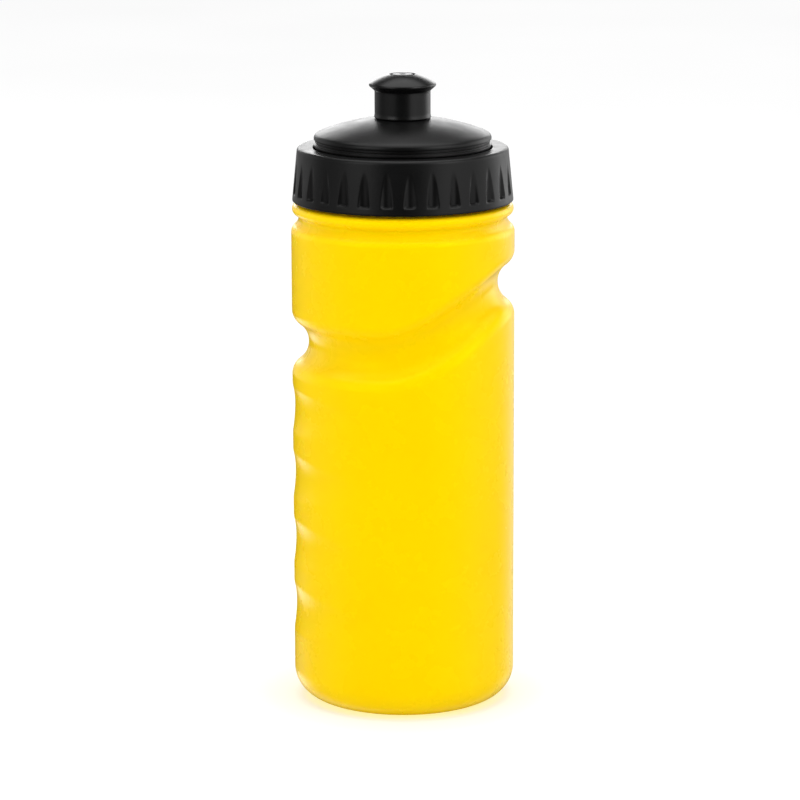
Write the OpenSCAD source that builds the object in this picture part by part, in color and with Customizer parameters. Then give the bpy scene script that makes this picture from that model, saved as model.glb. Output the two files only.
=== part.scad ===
// Squeeze water bottle with a two-piece screw cap and a push-pull spout.
// The origin is the centre of the base, on the surface that the bottle stands on. +Z is up.
// -Y is the front, and +X is the side on which the waist groove climbs to its high level.

/* [Bottle barrel] */
// Outside diameter of the barrel
barrel_d = 73; // [72:0.5:74]
// Wall thickness of the blow-moulded bottle
wall = 1.3; // [1:0.1:1.6]
// Radius of the rounded corner at the base
base_corner_r = 10; // [8:0.5:11]
// Height of the pushed-up centre of the base
push_up_h = 4; // [2:0.5:5]
// Radius at which the pushed-up centre starts
push_up_r = 22; // [18:1:24]

/* [Waist groove] */
// Height of the groove's centre on its low side
groove_low_z = 120; // [119:0.5:122]
// How much higher the groove runs on its high side
groove_rise = 19.7; // [0:0.1:21]
// Greatest depth of the groove
groove_depth = 5.5; // [4:0.1:6]
// Radius of the groove's floor, across the groove
groove_floor_r = 8.3; // [8:0.1:9]
// Radius of the groove's rounded lips
groove_lip_r = 5; // [4.6:0.1:5.4]
// Angle from the +X side at which the groove starts to come down
groove_turn_start = 15; // [5:1:30]
// Angle over which the groove changes level
groove_turn_span = 90; // [60:1:120]

/* [Finger grips] */
// Number of finger dents on the low side
grip_count = 4; // [2:1:4]
// Height of the top dent's deepest line
grip_top_z = 99.5; // [97:0.5:100]
// Distance from one dent to the next
grip_pitch = 22.3; // [20:0.1:23]
// Depth of a dent where it is deepest
grip_depth = 0.8; // [0.5:0.1:1]
// Width of a dent above its deepest line
grip_up = 6.5; // [5:0.5:7]
// Width of a dent below its deepest line
grip_down = 9.5; // [8:0.5:10]
// Angle at which a dent fades out, to each side of its deepest place
grip_fade = 65; // [50:1:70]

/* [Shoulder and neck] */
// Height at which the barrel starts to round in under the cap
shoulder_z = 156.4; // [155.5:0.1:157]
// Radius of that rounding
shoulder_r = 2.6; // [2:0.1:3]
// Radius at the bottom of the narrow groove under the bead
collar_groove_r = 34.1; // [33.8:0.1:34.5]
// Outside radius of the bead that the cap comes down to
bead_r = 36.15; // [35.8:0.05:36.4]
// Radius of the bead's round section
bead_section_r = 1.8; // [1.6:0.1:2]
// Height of the centre of the bead's section
bead_z = 164; // [163.9:0.1:164.2]
// Outside radius of the neck between the threads
neck_r = 30.9; // [30.7:0.1:31.1]
// Radius of the mouth
mouth_r = 29.3; // [29:0.1:29.5]
// Height of the rim of the neck
rim_z = 179.2; // [179:0.1:179.2]

/* [Screw thread] */
// Rise of the thread in one turn
pitch = 6.5; // [6:0.1:6.6]
// Height of the neck's thread at its start
thread_z = 170.2; // [170:0.1:170.4]
// Number of turns of thread on the neck
neck_turns = 1.15; // [1:0.05:1.2]
// Outside radius of the neck's thread
neck_crest_r = 32.7; // [32.4:0.1:32.8]
// Inside radius of the ring's thread
ring_crest_r = 31.4; // [31.3:0.1:31.7]
// Number of turns of thread in the ring
ring_turns = 1.1; // [0.9:0.05:1.15]
// How far the ring's thread lies under the neck's thread when the cap is tight
thread_drop = 2.4; // [2.2:0.1:3.2]

/* [Screw ring] */
// Height of the ring's lower edge
ring_bottom_z = 166.7; // [166.5:0.1:166.9]
// Height of the ring's top face
ring_top_z = 184.1; // [184:0.1:184.2]
// Outside radius of the ring at its lower edge
ring_low_r = 36.05; // [35.9:0.05:36.3]
// Outside radius of the ring at its upper edge
ring_high_r = 34.5; // [34.4:0.05:34.8]
// Inside radius of the ring between the threads
ring_bore_r = 33.1; // [33:0.1:33.3]
// Radius of the hole that the dome stands in
ring_hole_r = 29.2; // [29.15:0.05:29.4]
// Number of finger flutes around the ring
flute_count = 30; // [24:1:32]
// Radius of a flute's round section
flute_r = 2.5; // [2:0.1:3]
// Height of the ledge at the lower end of the flutes
flute_bottom_z = 169.3; // [168.8:0.1:170]
// Height at which the flutes run out of the tapered wall
flute_top_z = 180; // [178:0.1:181]
// Turn of the flutes around the ring, in degrees
flute_phase = 9.6; // [0:0.1:12]

/* [Cap dome] */
// Outside radius of the dome's rim
dome_r = 28.9; // [28.6:0.05:28.9]
// Height of the dome's highest point, if the spout were not there
dome_top_z = 193.9; // [193.6:0.05:194]
// Radius of the dome's curve
dome_curve_r = 75; // [72:1:80]
// Radius of the round between the dome's curve and its side
dome_edge_r = 1.6; // [1:0.1:2]
// Thickness of the dome's shell
dome_wall = 1.8; // [1.5:0.1:2]
// Radius of the flange that the ring holds down
flange_r = 32.6; // [32.2:0.1:32.7]

/* [Spout] */
// How far the mouthpiece pulls out
spout_travel = 6; // [4:0.5:6]
// Outside radius of the mouthpiece's barrel
spout_r = 9.1; // [8.9:0.1:9.2]
// Outside radius of the mouthpiece's bite rim
spout_rim_r = 10.9; // [10.5:0.1:11]
// Outside radius of the stem
stem_r = 6.5; // [6.3:0.1:6.6]
// Inside radius of the stem
stem_bore_r = 4.8; // [4.6:0.1:5]
// Radius of the drinking hole at the tip
hole_r = 3.9; // [3.8:0.1:4]
// Radius of the plug pin that closes the hole
pin_r = 3.4; // [3.3:0.1:3.5]

/* [Gasket] */
// Thickness of the sealing ring
gasket_t = 1.2; // [1:0.1:1.2]
// Inside radius of the sealing ring
gasket_in_r = 28.2; // [28.1:0.1:28.6]
// Outside radius of the sealing ring
gasket_out_r = 31.9; // [31.5:0.1:31.9]

/* [Hidden] */
$fn = 96;

yellow = [0.98, 0.84, 0.02];
black = [0.07, 0.07, 0.075];
dark_grey = [0.16, 0.16, 0.17];
rubber_grey = [0.45, 0.45, 0.46];

barrel_r = barrel_d / 2;
eps = 0.01;          // overlap that makes a union sound
gap = 0.2;           // play between pieces that move past each other
slide_gap = 0.07;    // play of a seal in its bore
edge = 0.3;          // small bevel on a moulded edge

// Steps of the two surfaces that have no exact form
groove_steps = 72;
groove_cutter_t = 2; // how far the groove's cutter goes on outside the barrel
thread_steps = 30;   // steps in one turn
thread_lead_in = 30; // degrees over which a thread grows to its full height

// Waist groove, worked out from its depth and its two radii
lip_centre_r = barrel_r - groove_lip_r;
floor_centre_r = barrel_r - groove_depth + groove_floor_r;
arc_gap = groove_floor_r + groove_lip_r;
groove_half = sqrt(arc_gap * arc_gap - pow(floor_centre_r - lip_centre_r, 2));
tangent_a = atan2(groove_half, floor_centre_r - lip_centre_r);
lip_cut_a = 4;       // the lip's arc stops this far short of the barrel's surface, in degrees
floor_a = 92 - tangent_a; // half of the floor's arc, which runs a little past the tangent points

// Finger dents: each is a ring cutter whose axis stands off the bottle's axis
grip_reach_r = barrel_r - grip_depth;
grip_cos = barrel_r * cos(grip_fade);
grip_offset = (barrel_r * barrel_r - grip_reach_r * grip_reach_r) / (2 * (grip_reach_r - grip_cos));
grip_ring_r = grip_reach_r + grip_offset;
grip_up_r = (pow(grip_up, 2) + pow(grip_depth, 2)) / (2 * grip_depth);
grip_down_r = (pow(grip_down, 2) + pow(grip_depth, 2)) / (2 * grip_depth);
grip_cutter_t = 4;   // how far the cutter goes on outside the barrel
grip_over_a = 3;     // the cutter's arc runs this far past the dent's edge

// Base: the pushed-up centre is a cap of a sphere
push_up_curve = (push_up_r * push_up_r + push_up_h * push_up_h) / (2 * push_up_h);

// Narrow groove under the bead, and the foot of the neck
collar_low_z = 160.3;
collar_high_z = 161.6;
neck_low_z = 166.3;
rim_bevel = 0.5;

// Inside of the shoulder, which is a little thicker than the barrel
inner_collar_low_z = collar_low_z - 0.7;
inner_collar_high_z = collar_high_z + 0.4;
inner_shoulder_drop = 1;
inner_shoulder_r = shoulder_r - wall + 0.4;
inner_bead_r = bead_section_r - wall + 0.5;
inner_bead_in = 0.3;
inner_bead_drop = 0.4;
mouth_low_z = 165;

// Section of a thread: it is wider at its root than at its crest
thread_bury = 0.4;   // how far it stands in the wall
thread_root_w = 3;
thread_crest_w = 1.4;
thread_first = 0.06; // share of the full height at its very ends

// Screw ring
ring_low_round = 0.5;
ring_top_round = 1.2;
bore_bevel = 0.8;    // height of the bevel at the mouth of the ring's bore
bore_bevel_w = 0.6;
taper_low_z = ring_bottom_z + ring_low_round;
taper_high_z = ring_top_z - ring_top_round;
ring_taper = (ring_low_r - ring_high_r) / (taper_high_z - taper_low_z);
flute_floor_r = ring_low_r - ring_taper * (flute_top_z - taper_low_z);

// Levels inside the cap
gasket_z = rim_z + gap;
flange_z = gasket_z + gasket_t;
flange_lip_z = flange_z - 0.5;
ring_lip_z = 182.5;
flange_top_z = ring_lip_z - edge;
dome_side_z = 187;   // where the dome's side starts to round over

// Stepped side of the dome: a low rim, a fine ridge and the dome's own edge
step_in_r = dome_r - 0.7;
low_rim_z = 184.3;
low_rim_t = 0.8;
ridge_z = low_rim_z + 1.4;
ridge_t = 0.3;
dome_low_z = low_rim_z + 2.3;

// Levels inside the spout, whose closed mouthpiece stands just clear of a flat seat on the dome
seat_z = dome_top_z - 0.4;
spout_z = seat_z + gap;
spout_foot_t = 1.4;
bead_low_z = spout_z + spout_foot_t + gap + spout_travel;
stem_top_z = bead_low_z + 1.4;
spout_roof_z = stem_top_z + 0.6;
spout_bore_r = spout_r - 1.6;
stem_bead_r = spout_bore_r - slide_gap;
stem_bead_bevel = 0.5;
tip_curve_r = 18.5;
tip_top_z = 208.2;
hole_land_z = spout_roof_z + 1.4;
hole_bevel = 0.4;
hole_bevel_z = tip_top_z - 1;

// Plug pin and the ribs that hold it
pin_top_z = tip_top_z - 0.5;
pin_bevel = 0.3;
pin_dimple_r = 1;
pin_dimple_h = 0.6;
rib_z = stem_top_z - 5;
rib_top_z = stem_top_z - 0.4;
rib_bury = 1;        // how far a rib stands in the pin
rib_reach = 0.6;     // how far a rib stands in the stem's wall
rib_w = 1.2;
rib_count = 3;

// Mouthpiece: flare at the foot, neck curve and bite rim
foot_flare = 0.3;
foot_flare_h = 1.1;
foot_bevel = 0.1;
foot_fall = 0.2;     // how much the foot's upper face falls towards the stem
neck_curve_r = 0.5;
bite_round = 0.7;
bite_h = 2.1;        // from the start of the neck curve to the bite rim's widest level

// Points of an arc around [r, z], from angle a0 to angle a1
function arc(c, r, a0, a1, n = 8) =
    [for (i = [0:n]) let (a = a0 + (a1 - a0) * i / n) [c[0] + r * cos(a), c[1] + r * sin(a)]];

function smooth(t) = t <= 0 ? 0 : t >= 1 ? 1 : t * t * (3 - 2 * t);

// Height of the waist groove's centre at an angle from +X, the same at the front and the back
function groove_z(a) =
    let (side = abs(a > 180 ? a - 360 : a))
    groove_low_z + groove_rise * smooth((groove_turn_start + groove_turn_span - side) / groove_turn_span);

// How much taller the groove's section gets where the groove climbs, because its width across stays the same
function groove_stretch(a) =
    let (slope = (groove_z(a + 1) - groove_z(a - 1)) / (barrel_r * 2 * PI / 180))
    sqrt(1 + slope * slope);

// Section of the groove as [radius, height from its centre]. t moves it into the wall.
function groove_section(t, outside) = concat(
    [[outside, -groove_half], [outside, groove_half]],
    arc([lip_centre_r, groove_half], groove_lip_r - t, -lip_cut_a, tangent_a - 90 - eps, 3),
    arc([floor_centre_r, 0], groove_floor_r + t, 180 - floor_a, 180 + floor_a, 6),
    arc([lip_centre_r, -groove_half], groove_lip_r - t, 90 - tangent_a + eps, lip_cut_a, 3));

// A section's point at an angle around the axis
function around(p, a) = [p[0] * cos(a), p[0] * sin(a), p[1]];

// A closed ring: each step has a section, and each section has its points as [radius, height]
module ring_sweep(sections, angles) {
    n = len(angles);
    m = len(sections[0]);
    points = [for (i = [0:n - 1]) for (p = sections[i]) around(p, angles[i])];
    faces = [for (i = [0:n - 1]) for (j = [0:m - 1])
        let (
            here = i * m,
            next = ((i + 1) % n) * m,
            k = (j + 1) % m
        )
        each [[here + j, here + k, next + k], [here + j, next + k, next + j]]];
    polyhedron(points, faces);
}

// The waist groove as a solid ring. t is how far it is moved into the wall.
module groove_ring(t, outside) {
    angles = [for (i = [0:groove_steps - 1]) 360 * i / groove_steps];
    section = groove_section(t, outside);
    ring_sweep([for (a = angles) [for (p = section) [p[0], groove_z(a) + groove_stretch(a) * p[1]]]], angles);
}

// The finger dents as rings that bite into the -X side. t is how far they are moved into the wall.
module grip_rings(t) {
    reach = grip_ring_r - t;
    up_a = asin(grip_up / grip_up_r) + grip_over_a;
    down_a = asin(grip_down / grip_down_r) + grip_over_a;
    upper = arc([reach + grip_up_r, 0], grip_up_r, 180 - up_a, 180, 5);
    lower = arc([reach + grip_down_r, 0], grip_down_r, 180 + down_a / 5, 180 + down_a, 4);
    section = concat(upper, lower, [[reach + grip_cutter_t, -grip_down_r * sin(down_a)],
                                    [reach + grip_cutter_t, grip_up_r * sin(up_a)]]);
    for (i = [0:grip_count - 1])
        translate([grip_offset, 0, grip_top_z - i * grip_pitch])
            rotate_extrude() polygon(section);
}

// The pushed-up centre of the base and the rounded corner, one t further in
function base_points(t) =
    let (
        r = push_up_curve + t,
        sweep = asin(push_up_r / r)
    )
    concat(
        arc([0, push_up_h - push_up_curve], r, 90, 90 - sweep, 8),
        arc([barrel_r - base_corner_r, base_corner_r], base_corner_r - t, -90, 0, 10));

// Half section of the bottle's outside, up to the rim
module bottle_outside() {
    polygon(concat(
        base_points(0),
        arc([barrel_r - shoulder_r, shoulder_z], shoulder_r, 0, 60, 6),
        [[collar_groove_r, collar_low_z], [collar_groove_r, collar_high_z]],
        arc([bead_r - bead_section_r, bead_z], bead_section_r, -80, 75, 10),
        [[neck_r, neck_low_z], [neck_r, rim_z - rim_bevel], [neck_r - rim_bevel, rim_z], [0, rim_z]]));
}

// Half section of the space inside, one wall thickness in
module bottle_inside() {
    inner_bead_centre_r = bead_r - bead_section_r - inner_bead_in;
    polygon(concat(
        base_points(wall),
        arc([barrel_r - shoulder_r, shoulder_z - inner_shoulder_drop], inner_shoulder_r, 0, 60, 4),
        [[collar_groove_r - wall, inner_collar_low_z], [collar_groove_r - wall, inner_collar_high_z]],
        arc([inner_bead_centre_r, bead_z - inner_bead_drop], inner_bead_r, -80, 80, 6),
        [[mouth_r, mouth_low_z], [mouth_r, rim_z - rim_bevel], [mouth_r + edge, rim_z + eps],
         [0, rim_z + eps]]));
}

// One thread: a ridge that climbs around the axis and tapers off at both ends.
// root is the radius it stands on, crest is the radius it reaches, start is its first angle.
module thread(root, crest, start, turns, z0) {
    n = ceil(turns * thread_steps);
    side = crest > root ? 1 : -1;
    bury = root - side * thread_bury;
    angles = [for (i = [0:n]) start + 360 * turns * i / n];
    sections = [for (a = angles)
        let (
            ends = min(a - start, start + 360 * turns - a) / thread_lead_in,
            reach = root + (crest - root) * max(thread_first, smooth(ends)),
            z = z0 + pitch * a / 360,
            foot = thread_root_w / 2,
            top = thread_crest_w / 2
        )
        [[bury, z - foot], [reach, z - top], [reach, z + top], [bury, z + foot]]];
    points = [for (i = [0:n]) for (p = sections[i]) around(p, angles[i])];
    walls = [for (i = [0:n - 1]) for (j = [0:3])
        let (a = i * 4 + j, b = i * 4 + (j + 1) % 4)
        each (side > 0 ? [[a, b, b + 4], [a, b + 4, a + 4]] : [[b, a, b + 4], [b + 4, a, a + 4]])];
    first = side > 0 ? [[3, 2, 1], [3, 1, 0]] : [[1, 2, 3], [0, 1, 3]];
    last = [for (f = first) [f[2] + 4 * n, f[1] + 4 * n, f[0] + 4 * n]];
    polyhedron(points, concat(walls, first, last));
}

// Blow-moulded bottle: barrel, waist groove, finger dents, bead and threaded neck
module bottle_body() {
    color(yellow) {
        difference() {
            rotate_extrude() bottle_outside();
            groove_ring(0, barrel_r + groove_cutter_t);
            grip_rings(0);
            difference() {
                rotate_extrude() bottle_inside();
                groove_ring(wall, barrel_r);
                grip_rings(wall);
            }
        }
        thread(neck_r, neck_crest_r, 0, neck_turns, thread_z);
    }
}

// Half section of the ring, with its inward lip
module ring_section() {
    polygon(concat(
        [[ring_bore_r + bore_bevel_w, ring_bottom_z]],
        arc([ring_low_r - ring_low_round, taper_low_z], ring_low_round, -90, 0, 4),
        arc([ring_high_r - ring_top_round, taper_high_z], ring_top_round, 5, 90, 6),
        [[ring_hole_r + edge, ring_top_z], [ring_hole_r, ring_top_z - edge], [ring_hole_r, ring_lip_z],
         [ring_bore_r, ring_lip_z], [ring_bore_r, ring_bottom_z + bore_bevel]]));
}

// Fluted ring that screws on the neck and holds the dome down. Each flute is a twelve-sided rod cut away.
module screw_ring() {
    color(black) {
        difference() {
            rotate_extrude() ring_section();
            for (i = [0:flute_count - 1])
                rotate(flute_phase + 360 * i / flute_count)
                    translate([flute_floor_r + flute_r, 0, flute_bottom_z])
                        rotate(15) cylinder(r = flute_r / cos(15), h = ring_top_z - flute_bottom_z, $fn = 12);
        }
        thread(ring_bore_r, ring_crest_r, 60, ring_turns, thread_z - thread_drop);
    }
}

// Stepped side of the dome, from the flange up to where it rounds over
function dome_side() = [
    [flange_r, flange_lip_z], [flange_r, flange_top_z], [step_in_r, flange_top_z], [step_in_r, low_rim_z],
    [dome_r, low_rim_z], [dome_r, low_rim_z + low_rim_t], [step_in_r, low_rim_z + low_rim_t],
    [step_in_r, ridge_z], [step_in_r + ridge_t, ridge_z], [step_in_r + ridge_t, ridge_z + ridge_t],
    [step_in_r, ridge_z + ridge_t], [step_in_r, dome_low_z], [dome_r, dome_low_z]];

// Stem with its seal bead
function stem_side() = [
    [stem_r, seat_z], [stem_r, bead_low_z],
    [stem_bead_r, bead_low_z + edge], [stem_bead_r, stem_top_z - stem_bead_bevel], [stem_r, stem_top_z],
    [stem_bore_r, stem_top_z]];

// Half section of the dome: shell, stepped side, flange with the gasket's seat, and the stem's tube
module dome_section() {
    centre_z = dome_top_z - dome_curve_r;
    edge_a = asin((dome_r - dome_edge_r) / (dome_curve_r - dome_edge_r));
    seat_a = asin((seat_z - centre_z) / dome_curve_r);
    inner_curve_r = dome_curve_r - dome_wall;
    inner_r = step_in_r - dome_wall;
    bore_a = acos(stem_bore_r / inner_curve_r);
    polygon(concat(
        dome_side(),
        arc([dome_r - dome_edge_r, dome_side_z], dome_edge_r, 0, 90 - edge_a, 5),
        arc([0, centre_z], dome_curve_r, 90.5 - edge_a, seat_a, 13),
        stem_side(),
        arc([0, centre_z], inner_curve_r, bore_a, acos(inner_r / inner_curve_r), 12),
        [[inner_r, flange_lip_z], [gasket_in_r - gap, flange_lip_z], [gasket_in_r - gap, flange_z],
         [gasket_out_r + gap, flange_z], [gasket_out_r + gap, flange_lip_z]]));
}

// Domed disc of the cap with the spout's stem and the plug pin on its ribs
module cap_dome() {
    dimple_z = pin_top_z - pin_dimple_h;
    color(black) {
        rotate_extrude() dome_section();
        rotate_extrude() polygon([
            [0, rib_z], [pin_r, rib_z], [pin_r, pin_top_z - pin_bevel], [pin_r - pin_bevel, pin_top_z],
            [pin_dimple_r, pin_top_z], [pin_dimple_r, dimple_z], [0, dimple_z]]);
        for (i = [0:rib_count - 1])
            rotate(30 + 360 * i / rib_count)
                translate([pin_r - rib_bury, -rib_w / 2, rib_z])
                    cube([stem_bore_r - pin_r + rib_bury + rib_reach, rib_w, rib_top_z - rib_z]);
    }
}

// Half section of the mouthpiece
module mouthpiece_section() {
    tip_centre_z = tip_top_z - tip_curve_r;
    tip_high_a = acos((hole_r + hole_bevel) / tip_curve_r);
    bite_centre_r = spout_rim_r - bite_round;
    bite_a = acos(bite_centre_r / (tip_curve_r - bite_round));
    bite_z = tip_centre_z + (tip_curve_r - bite_round) * sin(bite_a);
    polygon(concat(
        [[stem_r + edge, spout_z], [spout_r + foot_flare - foot_bevel, spout_z],
         [spout_r + foot_flare, spout_z + edge], [spout_r, spout_z + foot_flare_h]],
        arc([spout_r + neck_curve_r, bite_z - bite_h], neck_curve_r, 180, 120, 4),
        arc([bite_centre_r, bite_z], bite_round, -50, bite_a, 7),
        arc([0, tip_centre_z], tip_curve_r, bite_a + 1, tip_high_a, 10),
        [[hole_r, hole_bevel_z], [hole_r, hole_land_z], [pin_r + slide_gap, hole_land_z],
         [pin_r + slide_gap, spout_roof_z], [spout_bore_r, spout_roof_z],
         [spout_bore_r, spout_z + spout_foot_t], [stem_r + edge, spout_z + spout_foot_t - foot_fall]]));
}

// Push-pull mouthpiece that slides on the stem
module mouthpiece() {
    color(dark_grey) rotate_extrude() mouthpiece_section();
}

// Flat ring seal between the dome and the bottle's rim
module sealing_gasket() {
    color(rubber_grey)
        translate([0, 0, gasket_z])
            difference() {
                cylinder(r = gasket_out_r, h = gasket_t);
                translate([0, 0, -1]) cylinder(r = gasket_in_r, h = gasket_t + 2);
            }
}

bottle_body();
screw_ring();
cap_dome();
mouthpiece();
sealing_gasket();
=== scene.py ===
"""Looks of a squeeze water bottle with a screw cap and a push-pull spout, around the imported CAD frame.

Shapes are worked out in millimetres and turned into metres when a mesh is made. Angles go round from +X.
"""
import math

import bpy
import numpy as np
from mathutils import Matrix, Vector


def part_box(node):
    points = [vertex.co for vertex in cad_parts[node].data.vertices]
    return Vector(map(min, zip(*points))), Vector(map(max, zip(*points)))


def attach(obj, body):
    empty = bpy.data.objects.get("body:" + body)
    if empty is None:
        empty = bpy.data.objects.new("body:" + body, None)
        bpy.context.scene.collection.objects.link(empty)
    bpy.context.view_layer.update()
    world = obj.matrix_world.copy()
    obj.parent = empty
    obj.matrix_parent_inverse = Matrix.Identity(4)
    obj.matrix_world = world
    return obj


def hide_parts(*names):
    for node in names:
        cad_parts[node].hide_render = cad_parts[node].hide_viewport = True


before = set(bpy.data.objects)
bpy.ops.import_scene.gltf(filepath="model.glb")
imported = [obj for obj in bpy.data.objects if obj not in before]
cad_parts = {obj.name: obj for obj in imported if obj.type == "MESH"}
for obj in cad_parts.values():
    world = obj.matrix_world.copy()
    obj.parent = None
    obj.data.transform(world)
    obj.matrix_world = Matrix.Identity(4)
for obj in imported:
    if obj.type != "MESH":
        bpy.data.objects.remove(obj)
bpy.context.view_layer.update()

MM = 0.001
FULL = 2 * math.pi


# ---------------------------------------------------------------- sizes, in millimetres

def node_size(name):
    """Largest radius, lowest and highest point of a CAD node."""
    low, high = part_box(name)
    return (high.x - low.x) / 2 / MM, low.z / MM, high.z / MM


BARREL_R, _, RIM_Z = node_size("bottle_body")
RING_LOW_R, RING_BOTTOM_Z, RING_TOP_Z = node_size("screw_ring")
FLANGE_R, FLANGE_LOW_Z, PIN_TOP_Z = node_size("cap_dome")
SPOUT_RIM_R, SPOUT_Z, _ = node_size("mouthpiece")

EDGE = 0.3                 # small bevel on a moulded edge
SLIDE_GAP = 0.07           # play of a seal in its bore

# Bottle
WALL = 1.3
AXIS_GAP_A = 1.5           # degrees from the axis to the first ring of the base
BASE_CORNER_R = 10.0
PUSH_UP_H = 4.0
PUSH_UP_R = 22.0

GROOVE_LOW_Z = 120.0
GROOVE_RISE = 19.7
GROOVE_DEPTH = 5.5
GROOVE_FLOOR_R = 8.3
GROOVE_LIP_R = 5.0
GROOVE_TURN_START = math.radians(15)
GROOVE_TURN_SPAN = math.radians(90)

GRIP_COUNT = 4
GRIP_TOP_Z = 99.5
GRIP_PITCH = 22.3
GRIP_DEPTH = 0.8
GRIP_UP = 6.5
GRIP_DOWN = 9.5
GRIP_FADE = math.radians(65)
GRIP_EDGE = 0.12           # softness of a dent's edge

SHOULDER_Z = 156.4
SHOULDER_R = 2.6
COLLAR_GROOVE_R = 34.1
COLLAR_LOW_Z = 160.3
COLLAR_HIGH_Z = 161.6
COLLAR_ROUND = 0.7
BEAD_FOOT = (35.3, 162.4)  # radius and height at which the bead leaves the collar
BEAD_R = 36.15
BEAD_SECTION_R = 1.8
BEAD_Z = 164.0
NECK_R = 30.9
NECK_LOW_Z = 166.3
NECK_ROUND = 0.45
MOUTH_R = 29.3
MOUTH_LOW_Z = 165.0
INNER_COLLAR = [(32.9, 159.6), (32.9, 162.0), (34.3, 163.0), (34.3, 164.2), (32.0, 164.9)]

# Threads: height of the centre line at angle 0, first angle in degrees, turns
PITCH = 6.5
RIDGE_HALF_W = 1.45
RIDGE_FLANK_W = 0.75
RIDGE_RUN_OUT = 30         # degrees over which a thread grows to its full height
NECK_CREST_R = 32.7
NECK_THREAD = (170.2, 0.0, 1.15)
RING_BORE_R = 33.1
RING_CREST_R = 31.4
RING_THREAD = (167.8, 60.0, 1.1)

# Screw ring
RING_HIGH_R = 34.5
RING_HOLE_R = 29.2
RING_LIP_Z = 182.5
RING_FOOT_H = 0.5
RING_TOP_ROUND = 1.2
RING_ROUND = 0.35
BORE_BEVEL_W = 0.6
BORE_BEVEL_H = 0.8
FLUTES = 30
FLUTE_R = 2.5
FLUTE_BOTTOM_Z = 169.3
FLUTE_TOP_Z = 180.0
FLUTE_PHASE = math.radians(9.6)
FLUTE_EDGE = 0.1           # softness of a flute's edge
LEDGE_ROUND = 0.4          # height over which a flute's lower end turns into its ledge

# Dome
DOME_R = 28.9
DOME_TOP_Z = 193.9
DOME_CURVE_R = 75.0
DOME_EDGE_R = 1.6
DOME_SIDE_Z = 187.0
DOME_WALL = 1.8
LOW_RIM_Z = 184.3
LOW_RIM_H = 0.8
STEP_DEPTH = 0.7           # how far the side steps in under and over the low rim
RIDGE_Z = LOW_RIM_Z + 1.4
RIDGE_H = 0.3
DOME_LOW_Z = LOW_RIM_Z + 2.3
DOME_ROUND = 0.16          # round of the steps in the side
GASKET_SEAT_Z = 180.6
GASKET_SEAT_R = (28.0, 32.1)

# Stem and plug pin
STEM_R = 6.5
STEM_BORE_R = 4.8
STEM_FOOT_W = 0.8
SEAT_Z = 193.5
BEAD_LOW_Z = 201.3
STEM_TOP_Z = 202.7
BEAD_HIGH_Z = STEM_TOP_Z - 0.5
STEM_ROUND = 0.2
PIN_R = 3.4
PIN_LOW_Z = STEM_TOP_Z - 5
PIN_ROUND = 0.25
PIN_DIMPLE_R = 1.0
PIN_DIMPLE_H = 0.6
RIBS = 3
RIB_TOP_Z = STEM_TOP_Z - 0.4
RIB_HALF_W = 0.6
RIB_PHASE = math.radians(30)

# Mouthpiece
SPOUT_R = 9.1
SPOUT_BORE_R = SPOUT_R - 1.6
FOOT_FLARE = 0.15
FOOT_RIM_H = 0.25
FOOT_FLARE_H = 1.1
FOOT_H = 2.0
FOOT_T = 1.4
FOOT_ROUND = 0.2
NECK_CURVE_R = 0.5
BITE_H = 2.1               # from the start of the neck curve to the rim's widest level
BITE_ROUND_R = 0.7
TIP_CURVE_R = 18.5
TIP_TOP_Z = 208.2
HOLE_R = 3.9
HOLE_BEVEL = 0.4
HOLE_BEVEL_Z = TIP_TOP_Z - 0.9
HOLE_ROUND = 0.12
SPOUT_ROOF_Z = 203.3
HOLE_LAND_Z = SPOUT_ROOF_Z + 1.4


# ---------------------------------------------------------------- studio

WORLD_STRENGTH = 1.0

# What reflections see, as bands round the studio. Each has a strength, its levels by height from straight
# down at 0 to straight up at 1, and its levels by angle from the camera's side: negative is left.
STUDIO = {
    "table": (1.8, [(0, 0.3), (0.25, 0.4), (0.28, 1), (0.335, 1), (0.36, 0)],
              [(-180, 0.02), (-165, 0.1), (-152, 1), (-135, 1), (-110, 0.15), (-60, 0.05), (-50, 0),
               (50, 0), (70, 0.05), (115, 0.05), (130, 0.5), (150, 0.5), (165, 0.1), (180, 0.02)]),
    "horizon": (1.0, [(0.335, 0), (0.36, 1), (0.42, 1), (0.43, 0)],
                [(-180, 0.0), (-104, 0.02), (-84, 0.08), (-76, 0.2), (-34, 0.15), (-22, 0.04),
                 (24, 0.04), (36, 0.9), (70, 0.6), (90, 0.15), (108, 0.03), (124, 0.1),
                 (140, 0.6), (155, 0.9), (170, 0.5), (180, 0.1)]),
    "walls": (1.0, [(0.42, 0), (0.435, 1), (0.72, 1), (0.76, 0)],
              [(-180, 0.5), (-140, 0.5), (-115, 0.7), (-104, 0.25), (-84, 0.25), (-76, 0.4),
               (-34, 0.35), (-22, 0.04), (24, 0.04), (36, 1.1), (80, 0.9), (106, 1.0),
               (120, 2.2), (134, 2.2), (150, 0.9), (180, 0.5)]),
    "backdrop": (4.2, [(0.5, 0), (0.54, 1), (0.66, 1), (0.7, 0)],
                 [(-180, 0.9), (-170, 1), (-156, 0), (156, 0), (170, 0.7), (180, 0.9)]),
    "ceiling": (1.6, [(0.86, 0), (0.90, 1), (1, 1)], [(-180, 1), (180, 1)]),
}

# Colour of the floor's own light by distance from the bottle's axis, in millimetres, up to the reach.
GLOW_REACH = 100
# Far out this is an even pale glow. Near the foot it is brighter and yellow: painted bounce light from the
# bottle, which also paints out its contact shadow.
FLOOR_GLOW_WITH_PAINTED_BOUNCE = [(27.0, (0.92, 0.90, 0.40)), (31.3, (0.70, 0.72, 0.42)), (35.0, (0.57, 0.58, 0.50)),
              (42.0, (0.56, 0.56, 0.51)), (50.0, (0.56, 0.56, 0.55)), (58.0, (0.56, 0.56, 0.56))]


# ---------------------------------------------------------------- outlines

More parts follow.
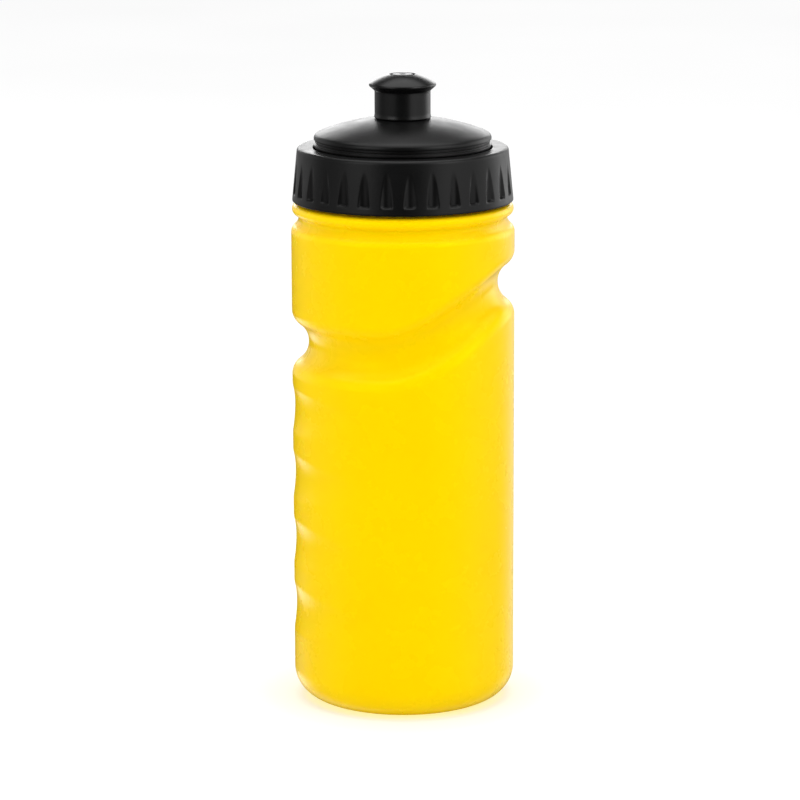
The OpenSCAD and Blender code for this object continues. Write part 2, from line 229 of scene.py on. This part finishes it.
def arc(centre, radius, a0, a1, n=8):
    """Points of an arc in [radius, height], angles in degrees."""
    return [(centre[0] + radius * math.cos(math.radians(a)), centre[1] + radius * math.sin(math.radians(a)))
            for a in np.linspace(a0, a1, n + 1)]


def rounded(points, radius, n=4, closed=True):
    """The outline with each corner replaced by a small arc, as wide as its sides allow."""
    out = []
    count = len(points)
    for i, p in enumerate(points):
        if not closed and i in (0, count - 1):
            out.append(p)
            continue
        a = Vector(points[i - 1]) - Vector(p)
        b = Vector(points[(i + 1) % count]) - Vector(p)
        turn = a.angle(b)
        if turn > math.radians(165):
            out.append(p)
            continue
        cut = min(radius / math.tan(turn / 2), 0.45 * a.length, 0.45 * b.length)
        start, end = Vector(p) + a.normalized() * cut, Vector(p) + b.normalized() * cut
        for t in np.linspace(0, 1, n + 1):
            q = start * (1 - t) ** 2 + Vector(p) * 2 * t * (1 - t) + end * t ** 2
            out.append((q.x, q.y))
    return out


def fine(points, step, closed=False):
    """The outline with more points, so that no side is longer than step."""
    out = []
    pairs = zip(points, points[1:] + (points[:1] if closed else []))
    for p, q in pairs:
        n = max(1, math.ceil(math.dist(p, q) / step))
        out += [(p[0] + (q[0] - p[0]) * k / n, p[1] + (q[1] - p[1]) * k / n) for k in range(n)]
    return out if closed else out + [points[-1]]


# ---------------------------------------------------------------- meshes

def turned(name, radius, height, closed):
    """A mesh from rings: radius and height are arrays of rings by angles, in millimetres.
    A closed one joins its last ring to its first. An open one ends in a point at both ends."""
    rings, columns = radius.shape
    angle = np.arange(columns) * FULL / columns
    points = np.stack([radius * np.cos(angle), radius * np.sin(angle), height], axis=2).reshape(-1, 3) * MM
    index = np.arange(rings * columns).reshape(rings, columns)
    upper = np.roll(index, -1, axis=0) if closed else index[1:]
    lower = index if closed else index[:-1]
    corners = [lower, np.roll(lower, -1, axis=1), np.roll(upper, -1, axis=1), upper]
    faces = np.stack(corners, axis=2).reshape(-1, 4).tolist()
    points = points.tolist()
    if not closed:
        for ring, flip in ((index[0], True), (index[-1], False)):
            points.append([0.0, 0.0, float(height[0 if flip else -1].mean()) * MM])
            tip = len(points) - 1
            pairs = zip(ring.tolist(), np.roll(ring, -1).tolist())
            faces += [[b, a, tip] if flip else [a, b, tip] for a, b in pairs]
    mesh = bpy.data.meshes.new(name)
    mesh.from_pydata(points, [], faces)
    mesh.validate()
    mesh.shade_smooth()
    mesh.set_sharp_from_angle(angle=math.radians(50))
    piece = bpy.data.objects.new(name, mesh)
    bpy.context.scene.collection.objects.link(piece)
    return piece


def swept(outline, columns):
    """Angles all round, and the outline's radii and heights repeated at each of them."""
    points = np.array(outline)
    angle = (np.arange(columns) * FULL / columns)[None, :]
    r = np.repeat(points[:, 0:1], columns, axis=1)
    z = np.repeat(points[:, 1:2], columns, axis=1)
    return angle, r, z


def smooth(t):
    t = np.clip(t, 0, 1)
    return t * t * (3 - 2 * t)


def soft_min(a, b, k):
    """The lower of two surfaces, with a round of about k where they meet. It never rises above either."""
    h = np.clip(0.5 + 0.5 * (b - a) / k, 0, 1)
    return b * (1 - h) + a * h - k * h * (1 - h)


# ---------------------------------------------------------------- bottle

def groove_centre(angle):
    """Height of the waist groove's centre line: high on the +X side, low on the -X side."""
    side = np.abs((angle + math.pi) % FULL - math.pi)
    turn = (GROOVE_TURN_START + GROOVE_TURN_SPAN - side) / GROOVE_TURN_SPAN
    return GROOVE_LOW_Z + GROOVE_RISE * smooth(turn)


def groove_surface(angle, z, inset):
    """Radius of the waist groove's surface, and the barrel's radius outside it."""
    lip_r, floor_r = GROOVE_LIP_R - inset, GROOVE_FLOOR_R + inset
    lip_centre = BARREL_R - GROOVE_LIP_R
    floor_centre = BARREL_R - GROOVE_DEPTH + GROOVE_FLOOR_R
    reach = GROOVE_FLOOR_R + GROOVE_LIP_R
    half = math.sqrt(reach ** 2 - (floor_centre - lip_centre) ** 2)
    step = math.radians(1)
    slope = (groove_centre(angle + step) - groove_centre(angle - step)) / (2 * step * BARREL_R)
    t = np.abs(z - groove_centre(angle)) / np.sqrt(1 + slope ** 2)
    floor = floor_centre - np.sqrt(np.maximum(floor_r ** 2 - t ** 2, 0))
    lip = lip_centre + np.sqrt(np.maximum(lip_r ** 2 - (half - t) ** 2, 0))
    on_floor = t < half * floor_r / reach
    return np.where(on_floor, floor, np.where(t < half, lip, BARREL_R - inset))


def grip_surface(angle, z, inset):
    """Radius of the finger dents: each is the inside of a wider ring whose axis stands off the bottle's."""
    reach = BARREL_R - GRIP_DEPTH
    offset = (BARREL_R ** 2 - reach ** 2) / (2 * (reach - BARREL_R * math.cos(GRIP_FADE)))
    lowest = np.full(np.broadcast(angle, z).shape, 1e3)
    for i in range(GRIP_COUNT):
        h = z - (GRIP_TOP_Z - i * GRIP_PITCH)
        width = np.where(h > 0, GRIP_UP, GRIP_DOWN)
        section = (width ** 2 + GRIP_DEPTH ** 2) / (2 * GRIP_DEPTH)
        h = np.clip(h, -section, section)
        ring = reach + offset - inset + section - np.sqrt(section ** 2 - h ** 2)
        dent = offset * np.cos(angle) + np.sqrt(ring ** 2 - (offset * np.sin(angle)) ** 2)
        lowest = np.minimum(lowest, dent)
    return lowest


def thread_height(angle, z, thread, depth):
    """Height of a thread's ridge over its root. It fades out towards both ends."""
    z0, first, turns = thread
    total = np.zeros(np.broadcast(angle, z).shape)
    for turn in range(-1, 3):
        along = np.degrees(angle) + 360 * turn
        ends = np.minimum(along - first, first + 360 * turns - along) / RIDGE_RUN_OUT
        off = np.abs(z - (z0 + PITCH * along / 360))
        ridge = np.clip((RIDGE_HALF_W - off) / RIDGE_FLANK_W, 0, 1)
        total = np.maximum(total, depth * smooth(ridge) * smooth(ends))
    return total


def base_points(inset, centre_steps, corner_steps):
    """The pushed-up centre of the base and its rounded corner, moved inwards by inset."""
    curve = (PUSH_UP_R ** 2 + PUSH_UP_H ** 2) / (2 * PUSH_UP_H)
    sweep = math.degrees(math.asin(PUSH_UP_R / (curve + inset)))
    centre = arc((0, PUSH_UP_H - curve), curve + inset, 90 - AXIS_GAP_A, 90 - sweep, centre_steps)
    corner = (BARREL_R - BASE_CORNER_R, BASE_CORNER_R)
    return centre + arc(corner, BASE_CORNER_R - inset, -90, 0, corner_steps)


def bottle_outside():
    """The outline in three parts: the base, the shoulder with its collar and bead, and the neck."""
    shoulder = arc((BARREL_R - SHOULDER_R, SHOULDER_Z), SHOULDER_R, 0, 60, 8)
    groove = [(COLLAR_GROOVE_R, COLLAR_LOW_Z), (COLLAR_GROOVE_R, COLLAR_HIGH_Z)]
    collar = rounded([shoulder[-1], *groove, BEAD_FOOT], COLLAR_ROUND, closed=False)[1:-1]
    bead = arc((BEAD_R - BEAD_SECTION_R, BEAD_Z), BEAD_SECTION_R, -70, 75, 12)
    walls = [(NECK_R, NECK_LOW_Z), (NECK_R, RIM_Z), (MOUTH_R, RIM_Z), (MOUTH_R, MOUTH_LOW_Z)]
    neck = rounded([bead[-1], *walls], NECK_ROUND, closed=False)[1:]
    return base_points(0, 16, 20), shoulder + collar + bead, neck


def bottle_cavity():
    """The outline of the inside, from under the neck down to the axis."""
    shoulder = arc((BARREL_R - SHOULDER_R, SHOULDER_Z - 1), SHOULDER_R - WALL, 0, 60, 6)
    return (base_points(WALL, 12, 16) + shoulder + INNER_COLLAR)[::-1]


def build_bottle(columns=320):
    """The bottle's shell: the turned outline with the waist groove, the finger dents and the thread."""
    base, collar, neck = bottle_outside()
    outside = fine(base, 1.0) + fine([base[-1], collar[0]], 0.55)[1:-1]
    outside += fine(collar, 0.5) + fine(neck[:-1], 0.3)
    inside = fine(neck[-2:], 1.0)[1:] + fine(bottle_cavity(), 1.2)
    angle, r, z = swept(outside + inside, columns)
    n = len(outside)
    barrel = (z[:n] > BASE_CORNER_R - 0.5) & (z[:n] < SHOULDER_Z + 1)
    dented = soft_min(r[:n], grip_surface(angle, z[:n], 0), GRIP_EDGE)
    cut = np.minimum(groove_surface(angle, z[:n], 0), dented)
    r[:n] = np.where(barrel, np.minimum(r[:n], cut), r[:n])
    threaded = (r[:n] > NECK_R - 0.05) & (z[:n] > NECK_LOW_Z + 0.3)
    r[:n] += np.where(threaded, thread_height(angle, z[:n], NECK_THREAD, NECK_CREST_R - NECK_R), 0)
    wide = (z[n:] > BASE_CORNER_R) & (z[n:] < SHOULDER_Z - 1)
    cut = np.minimum(groove_surface(angle, z[n:], WALL), grip_surface(angle, z[n:], WALL))
    r[n:] = np.where(wide, np.minimum(r[n:], cut), r[n:])
    return turned("bottle_shell", r, z, closed=False)


# ---------------------------------------------------------------- cap

def ring_outline():
    foot = [(RING_BORE_R + BORE_BEVEL_W, RING_BOTTOM_Z), (RING_LOW_R, RING_BOTTOM_Z),
            (RING_LOW_R, RING_BOTTOM_Z + RING_FOOT_H)]
    shoulder = arc((RING_HIGH_R - RING_TOP_ROUND, RING_TOP_Z - RING_TOP_ROUND), RING_TOP_ROUND, 5, 90, 8)
    inside = [(RING_HOLE_R, RING_TOP_Z), (RING_HOLE_R, RING_LIP_Z), (RING_BORE_R, RING_LIP_Z),
              (RING_BORE_R, RING_BOTTOM_Z + BORE_BEVEL_H)]
    return rounded(foot + shoulder + inside, RING_ROUND)


def flute_surface(angle):
    """Radius of the flutes' floors: upright rods that bite into the ring's tapered wall."""
    taper = (RING_LOW_R - RING_HIGH_R) / (RING_TOP_Z - RING_BOTTOM_Z - RING_FOOT_H - RING_TOP_ROUND)
    centre = RING_LOW_R - taper * (FLUTE_TOP_Z - RING_BOTTOM_Z - RING_FOOT_H) + FLUTE_R
    pitch = FULL / FLUTES
    off = (angle - FLUTE_PHASE + pitch / 2) % pitch - pitch / 2
    across = np.maximum(FLUTE_R ** 2 - (centre * np.sin(off)) ** 2, 0)
    return np.where(across > 0, centre * np.cos(off) - np.sqrt(across), 1e3)


def build_ring(columns=FLUTES * 26):
    """The screw ring: the turned outline with its flutes, which end in a ledge, and its inner thread."""
    angle, r, z = swept(fine(ring_outline(), 0.35, closed=True), columns)
    end = smooth((z - FLUTE_BOTTOM_Z + LEDGE_ROUND / 2) / LEDGE_ROUND)
    fluted = soft_min(r, np.repeat(flute_surface(angle), len(r), axis=0), FLUTE_EDGE)
    outer = (r > RING_BORE_R + 0.3) & (z > RING_BOTTOM_Z + 1)
    inner = (np.abs(r - RING_BORE_R) < 0.02) & (z < RING_LIP_Z)
    r = np.where(outer, r * (1 - end) + np.minimum(fluted, r) * end, r)
    r -= np.where(inner, thread_height(angle, z, RING_THREAD, RING_BORE_R - RING_CREST_R), 0)
    return turned("threaded_ring", r, z, closed=True)


def dome_side(step_r):
    """The dome's stepped side, from the flange up: a low rim, a fine ridge and the dome's own edge."""
    flange_top = RING_LIP_Z - EDGE
    ridge_r = step_r + RIDGE_H
    return [(FLANGE_R, FLANGE_LOW_Z), (FLANGE_R, flange_top), (step_r, flange_top), (step_r, LOW_RIM_Z),
            (DOME_R, LOW_RIM_Z), (DOME_R, LOW_RIM_Z + LOW_RIM_H), (step_r, LOW_RIM_Z + LOW_RIM_H),
            (step_r, RIDGE_Z), (ridge_r, RIDGE_Z), (ridge_r, RIDGE_Z + RIDGE_H), (step_r, RIDGE_Z + RIDGE_H),
            (step_r, DOME_LOW_Z), (DOME_R, DOME_LOW_Z), (DOME_R, DOME_SIDE_Z)]


def dome_outline():
    step_r = DOME_R - STEP_DEPTH
    inner_r = step_r - DOME_WALL
    centre = (0, DOME_TOP_Z - DOME_CURVE_R)
    inner_curve = DOME_CURVE_R - DOME_WALL
    rim = 90 - math.degrees(math.asin((DOME_R - DOME_EDGE_R) / (DOME_CURVE_R - DOME_EDGE_R)))
    foot = math.degrees(math.asin((SEAT_Z - centre[1]) / DOME_CURVE_R))
    bore = math.degrees(math.acos(STEM_BORE_R / inner_curve))
    inner = math.degrees(math.acos(inner_r / inner_curve))
    bead_r = SPOUT_BORE_R - SLIDE_GAP
    stem = [(STEM_R + STEM_FOOT_W, SEAT_Z), (STEM_R, SEAT_Z), (STEM_R, BEAD_LOW_Z),
            (bead_r, BEAD_LOW_Z + EDGE), (bead_r, BEAD_HIGH_Z), (STEM_R, STEM_TOP_Z),
            (STEM_BORE_R, STEM_TOP_Z)]
    seat_in, seat_out = GASKET_SEAT_R
    under = [(inner_r, FLANGE_LOW_Z), (seat_in, FLANGE_LOW_Z), (seat_in, GASKET_SEAT_Z),
             (seat_out, GASKET_SEAT_Z), (seat_out, FLANGE_LOW_Z)]
    top = arc((DOME_R - DOME_EDGE_R, DOME_SIDE_Z), DOME_EDGE_R, 6, rim, 8)
    top += arc(centre, DOME_CURVE_R, rim + 0.3, foot, 18)
    underside = arc(centre, inner_curve, bore, inner, 14)
    side = rounded(dome_side(step_r), DOME_ROUND, closed=False)
    return side + top + rounded(stem, STEM_ROUND, closed=False) + underside + under


def build_dome(columns=288):
    _, r, z = swept(fine(dome_outline(), 1.2, closed=True), columns)
    return turned("domed_lid", r, z, closed=True)


def build_plug_pin(columns=180):
    """The plug pin and the ribs that hold it in the stem."""
    dimple_z = PIN_TOP_Z - PIN_DIMPLE_H
    side = rounded([(0.4, PIN_LOW_Z), (PIN_R, PIN_LOW_Z), (PIN_R, RIB_TOP_Z), (PIN_R, PIN_TOP_Z),
                    (PIN_DIMPLE_R, PIN_TOP_Z), (PIN_DIMPLE_R, dimple_z), (0.2, dimple_z)],
                   PIN_ROUND, closed=False)
    angle, r, z = swept(fine(side, 0.4), columns)
    pitch = FULL / RIBS
    off = (angle - RIB_PHASE + pitch / 2) % pitch - pitch / 2
    rib = np.minimum(RIB_HALF_W / np.maximum(np.abs(np.sin(off)), 1e-3), STEM_BORE_R + 0.2)
    ribbed = (z < RIB_TOP_Z) & (r > PIN_R - 0.01)
    r = np.where(ribbed, np.maximum(r, rib), r)
    return turned("plug_pin", r, z, closed=False)


def mouthpiece_outline():
    centre_z = TIP_TOP_Z - TIP_CURVE_R
    rim_centre_r = SPOUT_RIM_R - BITE_ROUND_R
    meet = math.acos(rim_centre_r / (TIP_CURVE_R - BITE_ROUND_R))
    rim_z = centre_z + (TIP_CURVE_R - BITE_ROUND_R) * math.sin(meet)
    hole_edge = math.degrees(math.acos((HOLE_R + HOLE_BEVEL) / TIP_CURVE_R))
    flare_r = SPOUT_R + FOOT_FLARE
    pin_bore_r = PIN_R + SLIDE_GAP
    foot = [(STEM_R + EDGE, SPOUT_Z), (flare_r, SPOUT_Z), (flare_r, SPOUT_Z + FOOT_RIM_H),
            (SPOUT_R, SPOUT_Z + FOOT_FLARE_H), (SPOUT_R, SPOUT_Z + FOOT_H)]
    neck = arc((SPOUT_R + NECK_CURVE_R, rim_z - BITE_H), NECK_CURVE_R, 180, 120, 5)
    rim = arc((rim_centre_r, rim_z), BITE_ROUND_R, -50, math.degrees(meet), 10)
    tip = arc((0, centre_z), TIP_CURVE_R, math.degrees(meet) + 1.5, hole_edge, 14)
    hole = [tip[-1], (HOLE_R, HOLE_BEVEL_Z), (HOLE_R, HOLE_LAND_Z), (pin_bore_r, HOLE_LAND_Z),
            (pin_bore_r, SPOUT_ROOF_Z), (SPOUT_BORE_R, SPOUT_ROOF_Z), (SPOUT_BORE_R, SPOUT_Z + FOOT_T),
            (STEM_R + EDGE, SPOUT_Z + FOOT_T - 0.2)]
    outside = rounded(foot, FOOT_ROUND, closed=False) + neck + rim + tip
    return outside + rounded(hole, HOLE_ROUND, closed=False)[1:]


def build_mouthpiece(columns=224):
    _, r, z = swept(fine(mouthpiece_outline(), 0.7, closed=True), columns)
    return turned("bite_nozzle", r, z, closed=True)


# ---------------------------------------------------------------- materials

def new_material(name):
    material = bpy.data.materials.new(name)
    material.use_nodes = True
    tree = material.node_tree
    return material, tree, tree.nodes["Principled BSDF"]


def noise(tree, scale, detail=3.0, roughness=0.5):
    """A noise texture in the object's own metres: scale is in features per metre."""
    coords = tree.nodes.new("ShaderNodeTexCoord")
    texture = tree.nodes.new("ShaderNodeTexNoise")
    texture.inputs["Scale"].default_value = scale
    texture.inputs["Detail"].default_value = detail
    texture.inputs["Roughness"].default_value = roughness
    tree.links.new(coords.outputs["Object"], texture.inputs["Vector"])
    return texture.outputs["Fac"]


def ramp(tree, value, low, high, dark, light):
    """Maps value from low..high to a colour between dark and light."""
    node = tree.nodes.new("ShaderNodeValToRGB")
    node.color_ramp.elements[0].position = low
    node.color_ramp.elements[0].color = (*dark, 1)
    node.color_ramp.elements[1].position = high
    node.color_ramp.elements[1].color = (*light, 1)
    tree.links.new(value, node.inputs["Fac"])
    return node.outputs["Color"]


def spread(tree, value, low, high):
    """Maps a noise value to low..high."""
    node = tree.nodes.new("ShaderNodeMapRange")
    node.inputs["From Min"].default_value = 0.3
    node.inputs["From Max"].default_value = 0.7
    node.inputs["To Min"].default_value = low
    node.inputs["To Max"].default_value = high
    tree.links.new(value, node.inputs["Value"])
    return node.outputs["Result"]


def bump(tree, height, distance, strength, under=None):
    node = tree.nodes.new("ShaderNodeBump")
    node.inputs["Strength"].default_value = strength
    node.inputs["Distance"].default_value = distance
    tree.links.new(height, node.inputs["Height"])
    if under is not None:
        tree.links.new(under, node.inputs["Normal"])
    return node.outputs["Normal"]


def math_node(tree, operation, a, b, c=None):
    node = tree.nodes.new("ShaderNodeMath")
    node.operation = operation
    for socket, value in zip(node.inputs, (a, b, c)):
        if isinstance(value, (int, float)):
            socket.default_value = value
        elif value is not None:
            tree.links.new(value, socket)
    return node.outputs["Value"]


def ladder(tree, value, steps):
    """A soft staircase: steps are (position, colour) pairs, in order, with an easy curve between them."""
    node = tree.nodes.new("ShaderNodeValToRGB")
    stops = node.color_ramp
    stops.interpolation = "EASE"
    while len(stops.elements) < len(steps):
        stops.elements.new(0.5)
    for stop, (position, colour) in zip(stops.elements, steps):
        stop.position = position
        stop.color = (*colour, 1)
    tree.links.new(value, node.inputs["Fac"])
    return node.outputs["Color"]


def yellow_polyethylene():
    """Soft blow-moulded polyethylene: satin, slightly translucent, with a faint orange-peel surface."""
    material, tree, shader = new_material("yellow_polyethylene")
    colour = ramp(tree, noise(tree, 28, 4), 0.35, 0.65, (0.935, 0.58, 0.0), (0.955, 0.595, 0.0))
    tree.links.new(colour, shader.inputs["Base Color"])
    tree.links.new(spread(tree, noise(tree, 60, 5, 0.6), 0.25, 0.29), shader.inputs["Roughness"])
    peel = bump(tree, noise(tree, 900, 2), 0.00003, 0.08)
    tree.links.new(bump(tree, noise(tree, 90, 2), 0.0002, 0.03, peel), shader.inputs["Normal"])
    shader.inputs["IOR"].default_value = 1.51
    shader.inputs["Specular Tint"].default_value = (1.0, 0.75, 0.0, 1)
    shader.inputs["Subsurface Weight"].default_value = 0.4
    shader.inputs["Subsurface Radius"].default_value = (1.0, 0.6, 0.08)
    shader.inputs["Subsurface Scale"].default_value = 0.004
    return material


def black_plastic(name, roughness, grain, grain_strength, level):
    """Black polypropylene with a fine moulded grain."""
    material, tree, shader = new_material(name)
    colour = ramp(tree, noise(tree, 45, 4), 0.35, 0.65, (0.0018, 0.0018, 0.0018), (0.0026, 0.0026, 0.0026))
    tree.links.new(colour, shader.inputs["Base Color"])
    tree.links.new(spread(tree, noise(tree, 130, 4, 0.6), roughness - 0.04, roughness + 0.05),
                   shader.inputs["Roughness"])
    tree.links.new(bump(tree, noise(tree, grain, 2), 0.00004, grain_strength), shader.inputs["Normal"])
    shader.inputs["IOR"].default_value = 1.49
    shader.inputs["Specular IOR Level"].default_value = level
    return material


def grey_rubber():
    material, tree, shader = new_material("grey_rubber")
    colour = ramp(tree, noise(tree, 300, 3), 0.35, 0.65, (0.15, 0.15, 0.155), (0.20, 0.20, 0.205))
    tree.links.new(colour, shader.inputs["Base Color"])
    tree.links.new(spread(tree, noise(tree, 400, 3), 0.6, 0.75), shader.inputs["Roughness"])
    tree.links.new(bump(tree, noise(tree, 2500, 2), 0.00003, 0.4), shader.inputs["Normal"])
    return material


def pale_floor_painted_bounce():
    """White floor with an even glow of its own, brighter and yellow around the bottle's foot: painted bounce
    light from the bottle, which also paints out the contact shadow.
    """
    material, tree, shader = new_material("pale_floor_painted_bounce")
    colour = ramp(tree, noise(tree, 3, 2), 0.3, 0.7, (0.49, 0.49, 0.49), (0.51, 0.51, 0.51))
    tree.links.new(colour, shader.inputs["Base Color"])
    shader.inputs["Roughness"].default_value = 0.9
    shader.inputs["Specular IOR Level"].default_value = 0.0
    coords = tree.nodes.new("ShaderNodeTexCoord")
    off = tree.nodes.new("ShaderNodeVectorMath")
    off.operation = "LENGTH"
    tree.links.new(coords.outputs["Object"], off.inputs[0])
    share = math_node(tree, "MULTIPLY", off.outputs["Value"], 1 / (GLOW_REACH * MM))
    # Emission by distance from the axis: painted yellow bounce light and painted-out contact shadow near the
    # foot, an even glow further out.
    glow = ladder(tree, share, [(radius / GLOW_REACH, tint) for radius, tint in FLOOR_GLOW_WITH_PAINTED_BOUNCE])
    tree.links.new(glow, shader.inputs["Emission Color"])
    shader.inputs["Emission Strength"].default_value = 0.8
    return material


# ---------------------------------------------------------------- stage

def flat_panel(name, centre, size, axis):
    """A plain rectangle. axis is the direction that its face looks along."""
    half_w, half_h = size[0] / 2, size[1] / 2
    mesh = bpy.data.meshes.new(name)
    corners = [(-half_w, -half_h, 0), (half_w, -half_h, 0), (half_w, half_h, 0), (-half_w, half_h, 0)]
    mesh.from_pydata(corners, [], [(0, 1, 2, 3)])
    panel = bpy.data.objects.new(name, mesh)
    panel.location = centre
    panel.rotation_euler = Vector(axis).to_track_quat("Z", "Y").to_euler()
    bpy.context.scene.collection.objects.link(panel)
    return panel


def area_light(name, place, aim, size, power):
    data = bpy.data.lights.new(name, "AREA")
    data.shape = "RECTANGLE"
    data.size, data.size_y = size
    data.energy = power
    light = bpy.data.objects.new(name, data)
    light.location = place
    light.rotation_euler = (Vector(aim) - Vector(place)).to_track_quat("-Z", "Y").to_euler()
    bpy.context.scene.collection.objects.link(light)
    return light


def build_world():
    """Even white light. Reflections see a studio instead: dark where the camera stands, softboxes at the
    sides and a white backdrop behind."""
    world = bpy.data.worlds.new("studio")
    bpy.context.scene.world = world
    world.use_nodes = True
    tree = world.node_tree
    even = tree.nodes["Background"]
    even.inputs["Color"].default_value = (1, 1, 1, 1)
    even.inputs["Strength"].default_value = WORLD_STRENGTH
    coords = tree.nodes.new("ShaderNodeTexCoord")
    split = tree.nodes.new("ShaderNodeSeparateXYZ")
    tree.links.new(coords.outputs["Generated"], split.inputs["Vector"])
    front = math_node(tree, "MULTIPLY", split.outputs["Y"], -1.0)
    turn = math_node(tree, "ARCTAN2", split.outputs["X"], front)
    share = math_node(tree, "MULTIPLY_ADD", turn, 1 / FULL, 0.5)
    height = math_node(tree, "MULTIPLY_ADD", split.outputs["Z"], 0.5, 0.5)
    level = 0.0
    for strength, heights, angles in STUDIO.values():
        band = ladder(tree, height, [(up, (grey,) * 3) for up, grey in heights])
        around = ladder(tree, share, [(0.5 + degrees / 360, (grey,) * 3) for degrees, grey in angles])
        bright = math_node(tree, "MULTIPLY", around, strength)
        level = math_node(tree, "MULTIPLY_ADD", band, bright, level)
    studio = tree.nodes.new("ShaderNodeBackground")
    tree.links.new(level, studio.inputs["Color"])
    path = tree.nodes.new("ShaderNodeLightPath")
    mix = tree.nodes.new("ShaderNodeMixShader")
    tree.links.new(path.outputs["Is Glossy Ray"], mix.inputs["Fac"])
    tree.links.new(even.outputs["Background"], mix.inputs[1])
    tree.links.new(studio.outputs["Background"], mix.inputs[2])
    tree.links.new(mix.outputs["Shader"], tree.nodes["World Output"].inputs["Surface"])


def build_stage():
    floor = flat_panel("floor", (0, 0, 0), (12, 12), (0, 0, 1))
    floor.data.materials.append(pale_floor_painted_bounce())
    floor.visible_glossy = False
    build_world()
    area_light("key_right", (0.9, -0.7, 0.8), (0, 0, 0.1), (0.7, 0.7), 3.5)
    area_light("fill_left", (-0.8, -0.8, 0.6), (0, 0, 0.1), (0.7, 0.7), 2.5)
    top = area_light("top", (0.0, 0.1, 1.2), (0, 0, 0.1), (0.9, 0.9), 7)
    top.visible_glossy = False


def build_camera():
    """The photograph's camera. Its lens, place, pitch and roll come from a fit to the bottle's rims."""
    data = bpy.data.cameras.new("camera")
    data.sensor_width = 36
    data.lens = 163.42
    data.clip_start, data.clip_end = 0.05, 50
    camera = bpy.data.objects.new("camera", data)
    pitch, roll = math.radians(90 - 12.108), math.radians(-0.173)
    camera.matrix_world = (Matrix.Translation((-0.00112, -1.1715, 0.35106))
                           @ Matrix.Rotation(pitch, 4, "X") @ Matrix.Rotation(roll, 4, "Z"))
    bpy.context.scene.collection.objects.link(camera)
    bpy.context.scene.camera = camera
    bpy.context.scene.view_settings.view_transform = "Standard"


# ---------------------------------------------------------------- object

def place(piece, material, body, node, slot):
    """Gives a new piece its material and its body, and hides the CAD node that it stands for. slot, its
    finish slot, is not used.
    """
    piece.data.materials.append(material)
    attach(piece, body)
    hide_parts(node)


def dress(node, material):
    """Gives a CAD node that stays its material."""
    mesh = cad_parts[node].data
    mesh.materials.clear()
    mesh.materials.append(material)


build_camera()
build_stage()
satin_black = black_plastic("black_cap_plastic", 0.36, 2600, 0.25, 0.3)
place(build_bottle(), yellow_polyethylene(), "bottle", "bottle_body", "yellow_polyethylene")
place(build_ring(), satin_black, "ring", "screw_ring", "black_cap_plastic")
place(build_dome(), satin_black, "cap", "cap_dome", "black_cap_plastic")
place(build_plug_pin(), satin_black, "cap", "cap_dome", "black_cap_plastic")
place(build_mouthpiece(), black_plastic("black_spout_plastic", 0.3, 1500, 0.1, 0.4), "spout", "mouthpiece",
      "black_spout_plastic")
dress("sealing_gasket", grey_rubber())
